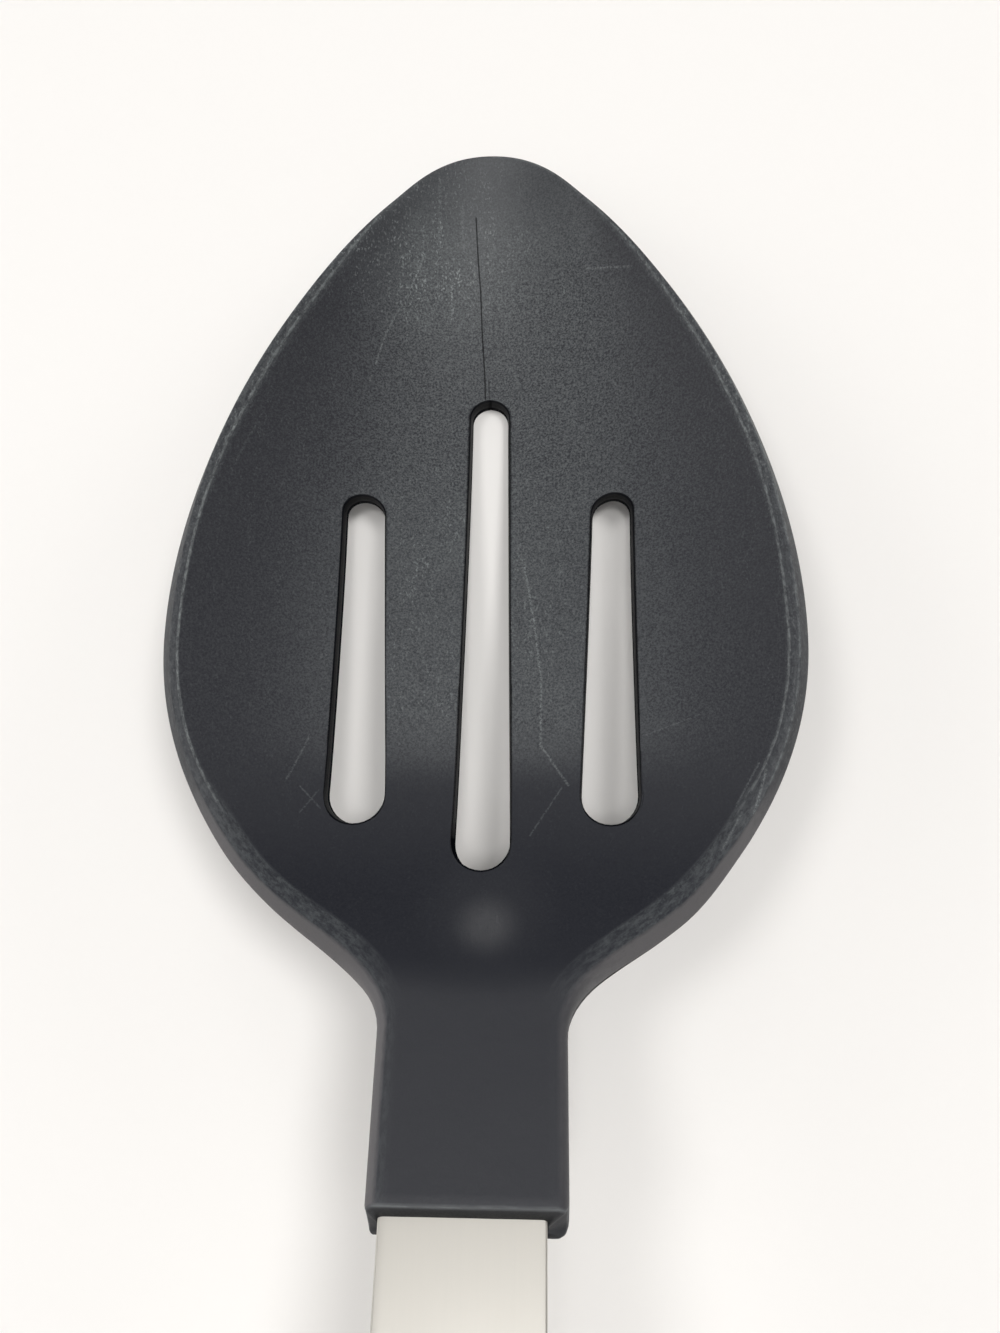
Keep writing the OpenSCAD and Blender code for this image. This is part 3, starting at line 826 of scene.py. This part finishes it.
class Nodes:
    """Short calls for a node tree."""

    def __init__(self, tree):
        self.tree = tree
        self.shader = tree.nodes.get("Principled BSDF")

    def add(self, kind, **values):
        """A node of a kind, with its settings and the values of its sockets. A linked value is a socket."""
        node = self.tree.nodes.new(kind)
        for key, value in values.items():
            if key.startswith("in_"):
                self.set(node, key[3:], value)
            else:
                setattr(node, key, value)
        return node

    def set(self, node, key, value):
        """Sets or links one input, by its name or its number."""
        socket = node.inputs[int(key)] if key.isdigit() else node.inputs[key.replace("_", " ")]
        if isinstance(value, bpy.types.NodeSocket):
            self.tree.links.new(value, socket)
        else:
            socket.default_value = value

    def math(self, operation, a, b=0.0, c=0.0, clamp=False):
        """A Math node's result."""
        node = self.add("ShaderNodeMath", operation=operation, use_clamp=clamp)
        for k, value in enumerate((a, b, c)):
            self.set(node, str(k), value)
        return node.outputs[0]

    def times(self, a, b, plus=None):
        """The product of two values, and a third one added where it is given."""
        return self.math("MULTIPLY", a, b) if plus is None else self.math("MULTIPLY_ADD", a, b, plus)

    def total(self, result, *values):
        """The sum of several values."""
        for value in values:
            result = self.math("ADD", result, value)
        return result

    def vector(self, operation, *values):
        """A Vector Math node's result."""
        node = self.add("ShaderNodeVectorMath", operation=operation)
        for k, value in enumerate(values):
            self.set(node, "Scale" if operation == "SCALE" and k else str(k), value)
        return node.outputs["Value" if operation in ("DISTANCE", "DOT_PRODUCT", "LENGTH") else "Vector"]

    def noise(self, place, scale, detail, rough):
        """A noise texture's value. A scale of three numbers stretches the place instead."""
        if isinstance(scale, tuple):
            place, scale = self.vector("MULTIPLY", place, scale), 1
        return self.add("ShaderNodeTexNoise", in_Vector=place, in_Scale=scale, in_Detail=detail,
                        in_Roughness=rough).outputs[0]

    def ramp(self, value, low, high):
        """A smooth step from 0 at low to 1 at high."""
        return self.add("ShaderNodeMapRange", interpolation_type="SMOOTHSTEP", in_Value=value,
                        in_From_Min=low, in_From_Max=high).outputs[0]

    def near(self, place, centre, radius):
        """1 close to a point in millimetres and 0 from a radius on."""
        away = self.vector("DISTANCE", place, tuple(MM * value for value in centre))
        return self.ramp(away, radius * MM, 0.2 * radius * MM)

    def band(self, place, axis, stops):
        """0 before the first of four stops in millimetres, 1 between the middle two, 0 after the last."""
        value = self.add("ShaderNodeSeparateXYZ", in_0=place).outputs[axis]
        rise = self.ramp(value, stops[0] * MM, stops[1] * MM)
        return self.times(rise, self.ramp(value, stops[3] * MM, stops[2] * MM))

    def blend(self, amount, first, second):
        """Goes from the first colour to the second, and past it where the amount is over 1."""
        node = self.add("ShaderNodeMix", data_type="RGBA", clamp_factor=False)
        for key, value in ((0, amount), (6, first), (7, second)):
            self.set(node, str(key), value)
        return node.outputs[2]

    def bump(self, height):
        """Links a height in millimetres to the shader's normal."""
        node = self.add("ShaderNodeBump", in_Height=height, in_Distance=MM, in_Strength=1.0)
        self.set(self.shader, "Normal", node.outputs[0])


def start_material(name):
    """A new material, short calls for its nodes, and the place on the object."""
    material = bpy.data.materials.new(name)
    material.use_nodes = True
    n = Nodes(material.node_tree)
    return material, n, n.add("ShaderNodeTexCoord").outputs["Object"]


def stroke_group():
    """A node group: how near a point lies to a line in plan, 1 on it and 0 at its width."""
    group = bpy.data.node_groups.new("scratch_stroke", "ShaderNodeTree")
    for name in ("Place", "Start", "End"):
        group.interface.new_socket(name, in_out="INPUT", socket_type="NodeSocketVector")
    group.interface.new_socket("Width", in_out="INPUT", socket_type="NodeSocketFloat")
    group.interface.new_socket("Mark", in_out="OUTPUT", socket_type="NodeSocketFloat")
    n = Nodes(group)
    given = n.add("NodeGroupInput").outputs
    along = n.vector("SUBTRACT", given["End"], given["Start"])
    away = n.vector("SUBTRACT", n.vector("MULTIPLY", given["Place"], (1, 1, 0)), given["Start"])
    part = n.math("DIVIDE", n.vector("DOT_PRODUCT", away, along), n.vector("DOT_PRODUCT", along, along),
                  clamp=True)
    gap = n.vector("LENGTH", n.vector("SUBTRACT", away, n.vector("SCALE", along, part)))
    n.add("NodeGroupOutput", in_Mark=n.math("SUBTRACT", 1, n.math("DIVIDE", gap, given["Width"]), clamp=True))
    return group


# Scratches on the bowl as broken lines in plan, in millimetres, each with its width and its strength.
SCRATCHES = (
    (((4.3, 106), (5.6, 98.2), (6.5, 90.8), (6.4, 83.1), (9.5, 78.5)), 0.2, 0.8),
    (((8.8, 78.2), (5.3, 72.9)), 0.14, 0.45),
    (((-8.5, 149.6), (-8.6, 145.7), (-10.4, 141.1), (-13.1, 135.5), (-14.9, 129.1)), 0.17, 0.6),
    (((12.1, 143.4), (14.8, 142.7), (17.5, 141.9)), 0.2, 0.7),
    (((9.2, 142), (9.5, 140.9)), 0.25, 0.7),
    (((-21.4, 78.9), (-19.4, 83.9)), 0.16, 0.5),
    (((-20, 78.1), (-17.6, 75.7)), 0.14, 0.4),
    (((-18, 77.7), (-19.6, 75.2)), 0.14, 0.35),
    (((18, 84), (23.9, 86.1)), 0.14, 0.3),
    (((26.3, 70.2), (28.4, 74.5), (30.1, 79.7)), 0.2, 0.9),
    (((27.4, 71.5), (29.3, 76.6)), 0.16, 0.7),
    (((25.1, 71.4), (27.4, 75.3)), 0.16, 0.6),
    (((26.9, 76), (29.5, 80.5)), 0.14, 0.6),
    (((-29, 116), (-26.5, 122.5)), 0.2, 0.2),
    (((-6.4, 155.8), (-6.5, 147.1)), 0.3, 0.35),
    (((-3.6, 152.9), (-3.6, 147.4)), 0.25, 0.3),
    (((-5, 142.9), (-5, 138.3)), 0.2, 0.3),
    (((20, 120), (14, 131)), 0.12, 0.25),
    (((-14, 104), (-9.5, 117)), 0.12, 0.2),
)
# The hairline crack from the tip to the middle slot, and a second one beside it.
CRACKS = (
    (((-1.9, 151.4), (-1.6, 145.7), (-1.3, 142), (-1.1, 136.8), (-0.7, 130.6), (-0.6, 127.8)), 0.1, 1),
    (((-0.2, 130.4), (-0.1, 127.8)), 0.1, 0.6),
)


def strokes(n, place, table):
    """The strongest mark of all broken lines of a table."""
    group = bpy.data.node_groups.get("scratch_stroke") or stroke_group()
    total = None
    for points, width, strength in table:
        for start, end in zip(points[:-1], points[1:]):
            node = n.add("ShaderNodeGroup", node_tree=group, in_Place=place, in_Width=width * MM,
                         in_Start=(start[0] * MM, start[1] * MM, 0), in_End=(end[0] * MM, end[1] * MM, 0))
            mark = n.times(node.outputs[0], strength)
            total = mark if total is None else n.math("MAXIMUM", total, mark)
    return total


def nylon_material(finish):
    """Black moulded nylon: a fine matte grain, scraped grey along the floor, rubbed on the rim, scratched.
    The colour also holds a painted reflection on the floor, painted light on the rim's outer face, and
    painted shade on the underside, the slot walls and in the mouth.
    """
    material, n, place = start_material("worn_black_nylon")
    names = ("wear", "grained", "top", "inner_line", "from_line", "outer_line", "rim_zone", "face", "run",
             "inset", "mouth")
    marks = {name: n.add("ShaderNodeAttribute", attribute_name=name).outputs["Fac"] for name in names}
    grained, top, rim_zone = marks["grained"], marks["top"], marks["rim_zone"]
    # Grain and flecks are contrast-stretched noises of about 0.25 mm, and the blotches are some 10 mm wide.
    grain = n.math("SUBTRACT", n.ramp(n.noise(place, 4000, 3, 0.8), 0.32, 0.68), 0.5)
    flecks = n.ramp(n.noise(place, (4300, 2500, 4300), 1, 0.5), 0.56, 0.7)
    blotch = n.noise(place, 90, 4, 0.6)
    streak = n.ramp(n.noise(place, (900, 130, 300), 3, 0.7), 0.42, 0.68)
    along = n.add("ShaderNodeCombineXYZ", in_X=n.times(marks["run"], 800), in_Y=n.times(marks["inset"], 2200))
    rubbed = n.ramp(n.noise(along.outputs[0], 1, 4, 0.75), 0.36, 0.66)
    scuffed = n.ramp(n.noise(place, (260, 1500, 1500), 3, 0.7), 0.4, 0.62)
    # A patch left of the tip is brushed hardest, and the floor between the slots about half as much.
    between = n.times(n.near(place, (-4, 100, 5), 24), 0.45)
    patch = n.math("MAXIMUM", n.near(place, (-8.5, 150, 5), 18), between)
    # Behind the middle slot lies a small glossy spot, and across the heel a dull band.
    spot, around = n.near(place, (1, 64, 17), 4.5), n.near(place, (1, 66, 17), 9)
    polished = n.total(n.times(spot, 0.7), n.times(around, 0.3))
    matte = n.band(place, 1, (57, 61, 66, 77))
    # Scraped grey plus painted reflection: the floor is painted lighter than the heel and the neck.
    wear = n.times(marks["wear"], n.times(blotch, 0.9, 0.5))
    fine = n.times(grain, n.times(grained, n.times(marks["wear"], 2, 0.8)))
    spread = n.times(n.times(streak, 2.2, 0.8), n.times(patch, 1.7, 0.22))
    flecked = n.times(flecks, n.times(grained, n.total(spread, n.times(rim_zone, 0.8))))
    scratch = n.times(n.times(strokes(n, place, SCRATCHES), top), n.times(grain, 2, 0.9))
    crack = n.times(strokes(n, place, CRACKS), top)
    outer = n.times(marks["outer_line"], n.total(rubbed, 0.3))
    inner = n.times(marks["inner_line"], n.ramp(n.math("ABSOLUTE", marks["from_line"]), 0.19 * MM, 0.06 * MM))
    rim = n.total(n.times(inner, n.times(rubbed, 1.4, 0.25)), outer)
    # Chafed grey on the rim's outer face, partly painted light at the heel and on the neck's left.
    chafed_and_lit = n.times(marks["face"], n.times(rubbed, 0.25, 0.85))
    # The rim zone is worn ragged along the rim and painted light on the neck's left.
    ragged = n.times(rim_zone, n.times(rubbed, 0.85, 0.15))
    lip = n.times(marks["mouth"], n.times(scuffed, 0.7, 0.7))
    amount = n.total(wear, n.times(n.times(patch, grained), 0.55), fine, flecked, n.times(rim, 2.8),
                     n.times(ragged, 0.9), n.times(scratch, 1.8), lip)
    colour = n.blend(n.math("MAXIMUM", amount, -0.22), (*finish.nylon, 1), (*finish.nylon_worn, 1))
    colour = n.blend(n.math("MINIMUM", chafed_and_lit, 1), colour, (*finish.nylon_chafed, 1))
    # Painted shade: where the top mark falls below 1 (underside, slot walls, the rim's lower wall, the raked
    # mouth face, the socket) the colour darkens to 0.35 of itself.
    colour = n.blend(n.times(top, 0.65, 0.35), (0, 0, 0, 1), colour)
    n.set(n.shader, "Base Color", n.blend(n.times(crack, 0.85), colour, (0.004, 0.004, 0.004, 1)))
    n.set(n.shader, "Roughness", n.total(0.56, n.times(wear, -0.06), n.times(grain, 0.1), n.times(rim, -0.06),
                                         n.times(scratch, -0.1), n.times(polished, -0.2)))
    gloss = n.total(0.08, n.times(top, 0.42), n.times(matte, -0.22), n.times(polished, 0.6))
    n.set(n.shader, "Specular IOR Level", gloss)
    n.set(n.shader, "IOR", 1.53)
    n.bump(n.total(n.times(grain, 0.003), n.times(streak, 0.004), n.times(rim, 0.05), n.times(crack, -0.12),
                   n.times(blotch, 0.12)))
    return material


def steel_material(finish, name="satin_steel", brushing=(1500, 60, 60)):
    """Satin stainless steel with a fine brushed grain, faint blotches and a few hairlines."""
    material, n, place = start_material(name)
    brushed = n.noise(place, brushing, 4, 0.7)
    hairline = n.ramp(n.noise(place, (brushing[0] * 3, brushing[1] / 3, brushing[2]), 2, 0.5), 0.68, 0.74)
    blotch = n.noise(place, 60, 3, 0.6)
    dark = tuple(0.9 * channel for channel in finish.steel)
    amount = n.total(0.15, n.times(brushed, 0.8), n.times(blotch, 0.35), n.times(hairline, -0.08))
    n.set(n.shader, "Base Color", n.blend(amount, (*dark, 1), (*finish.steel, 1)))
    n.set(n.shader, "Metallic", 1)
    n.set(n.shader, "Roughness", n.total(0.34, n.times(brushed, 0.12), n.times(blotch, 0.08)))
    n.bump(n.total(n.times(brushed, 0.004), n.times(hairline, -0.001)))
    return material


def floor_material(finish):
    """A plain pale table with a barely visible mottle."""
    material, n, place = start_material("pale_table")
    mottle = n.total(n.times(n.noise(place, 14, 4, 0.6), 0.7), n.times(n.noise(place, 900, 2, 0.5), 0.3))
    shade = tuple(0.975 * channel for channel in finish.floor)
    n.set(n.shader, "Base Color", n.blend(mottle, (*shade, 1), (*finish.floor, 1)))
    n.set(n.shader, "Roughness", n.times(mottle, 0.1, 0.55))
    n.bump(n.times(mottle, 0.01))
    return material


# Operators

class SPOON_OT_head(bpy.types.Operator):
    """Builds the nylon head over its node"""
    bl_idname = "spoon.head"
    bl_label = "Nylon head"

    def execute(self, context):
        scene = context.scene
        mesh = head_mesh(scene.spoon_head, scene.spoon_handle)
        show("slotted_head_nylon", mesh, nylon_material(scene.spoon_finish), "slotted_head")
        return {"FINISHED"}


class SPOON_OT_handle(bpy.types.Operator):
    """Builds the steel handle strip over its node"""
    bl_idname = "spoon.handle"
    bl_label = "Handle strip"

    def execute(self, context):
        scene = context.scene
        head = HeadShape(scene.spoon_head, scene.spoon_handle)
        mesh = strip_mesh(scene.spoon_handle, head)
        show("handle_strip_steel", mesh, steel_material(scene.spoon_finish), "handle_strip")
        return {"FINISHED"}


class SPOON_OT_pins(bpy.types.Operator):
    """Builds the two lock pins over their nodes"""
    bl_idname = "spoon.pins"
    bl_label = "Lock pins"

    def execute(self, context):
        scene = context.scene
        head = HeadShape(scene.spoon_head, scene.spoon_handle)
        material = steel_material(scene.spoon_finish, "pin_steel", (900, 900, 60))
        for node in ("lock_pin_front", "lock_pin_rear"):
            name = node + "_steel"
            show(name, pin_mesh(name, scene.spoon_handle, head, node), material, node)
        return {"FINISHED"}


# Each lamp's name, tilt, heading, power and width, the angles in degrees.
# The sheen lamps only show in reflections, and the high lamps never do.
LAMPS = (
    ("overhead", 4, 180, 0.52, 14),
    ("overhead_wide", 0, 0, 0.3, 90),
    ("high_right", 23, 66, 1.18, 20),
    ("high_left", 30, 296, 0.62, 18),
    ("tip_low", 60, 356, 0.1, 12),
    ("sheen_overhead", 5, 180, 0.62, 30),
    ("sheen_right", 57, 150, 0.5, 34),
    ("sheen_left", 57, 210, 0.5, 34),
    ("sheen_low", 69, 180, 1.15, 28),
    ("left_low", 70, 270, 0.4, 40),
    ("tip_left", 74, 300, 0.45, 30),
    ("tip_right", 74, 60, 0.5, 30),
)


class SPOON_OT_stage(bpy.types.Operator):
    """Lays the table, hangs the lamps and sets the camera"""
    bl_idname = "spoon.stage"
    bl_label = "Stage"

    def execute(self, context):
        scene = context.scene
        stage = scene.spoon_stage
        side = np.linspace(-1.5, 1.5, 31)
        gx, gy = np.meshgrid(side, side, indexing="ij")
        shell = Shell()
        ids = shell.add(np.stack([gx, gy, 0 * gx - 0.05 * MM], axis=-1))
        shell.grid(ids)
        mesh = bpy.data.meshes.new("table_top")
        mesh.from_pydata(shell.points[0].tolist(), [], shell.quads[0].tolist())
        mesh.materials.append(floor_material(scene.spoon_finish))
        table = bpy.data.objects.new("table_top", mesh)
        scene.collection.objects.link(table)
        self.room(scene)
        for lamp in LAMPS:
            self.lamp(scene, *lamp)
        camera = bpy.data.cameras.new("camera")
        camera.lens = stage.focal
        camera.sensor_width = 36
        camera.clip_start = 0.005
        eye = bpy.data.objects.new("camera", camera)
        eye.location = (stage.camera_x, TIP_Y - stage.camera_s, stage.camera_h)
        eye.rotation_euler = stage.camera_turn
        scene.collection.objects.link(eye)
        scene.camera = eye
        scene.view_settings.view_transform = "Standard"
        return {"FINISHED"}

    def room(self, scene):
        """A dim even room, a little brighter in reflections. Only the camera sees it as a pale backdrop."""
        world = bpy.data.worlds.new("soft_room")
        scene.world = world
        world.use_nodes = True
        n = Nodes(world.node_tree)
        back, rays = n.tree.nodes["Background"], n.add("ShaderNodeLightPath").outputs
        n.set(back, "Color", (0.95, 0.925, 0.9, 1))
        shiny = n.times(rays["Is Glossy Ray"], 0.07, 0.15)
        n.set(back, "Strength", n.math("MAXIMUM", rays["Is Camera Ray"], shiny))

    def lamp(self, scene, name, tilt, heading, power, width):
        """A wide far lamp, tilted from overhead towards a heading that counts from the tip to the right."""
        light = bpy.data.lights.new(name, "SUN")
        light.angle = math.radians(width)
        light.energy = power
        light.color = (1, 0.995, 0.985)
        lamp = bpy.data.objects.new(name, light)
        lamp.visible_diffuse = not name.startswith("sheen")
        lamp.visible_glossy = not name.startswith("high")
        lamp.location = (0, 0, 1)
        tilt, heading = math.radians(tilt), math.radians(heading)
        flat = math.sin(tilt)
        towards = Vector((flat * math.sin(heading), flat * math.cos(heading), math.cos(tilt)))
        lamp.rotation_euler = towards.to_track_quat("Z", "Y").to_euler()
        scene.collection.objects.link(lamp)


class SPOON_PT_panel(bpy.types.Panel):
    """Lists the spoon's sizes and its building steps"""
    bl_idname = "SPOON_PT_panel"
    bl_label = "Slotted spoon"
    bl_space_type = "VIEW_3D"
    bl_region_type = "UI"
    bl_category = "Spoon"

    def draw(self, context):
        for group in GROUPS:
            box = self.layout.box()
            settings = getattr(context.scene, group)
            for name in settings.bl_rna.properties.keys():
                if name not in ("rna_type", "name"):
                    box.prop(settings, name)
        for operator in STEPS:
            self.layout.operator(operator.bl_idname)


GROUPS = {
    "spoon_head": SpoonHeadSizes,
    "spoon_handle": SpoonHandleSizes,
    "spoon_finish": SpoonFinish,
    "spoon_stage": SpoonStage,
}
STEPS = (SPOON_OT_head, SPOON_OT_handle, SPOON_OT_pins, SPOON_OT_stage)


def register():
    for cls in (*GROUPS.values(), *STEPS, SPOON_PT_panel):
        bpy.utils.register_class(cls)
    for name, group in GROUPS.items():
        setattr(bpy.types.Scene, name, bpy.props.PointerProperty(type=group))


def unregister():
    for name in GROUPS:
        delattr(bpy.types.Scene, name)
    for cls in (SPOON_PT_panel, *STEPS, *GROUPS.values()):
        bpy.utils.unregister_class(cls)


def main():
    """Builds every piece and the stage."""
    register()
    bpy.ops.spoon.head()
    bpy.ops.spoon.handle()
    bpy.ops.spoon.pins()
    bpy.ops.spoon.stage()


if __name__ == "__main__":
    main()
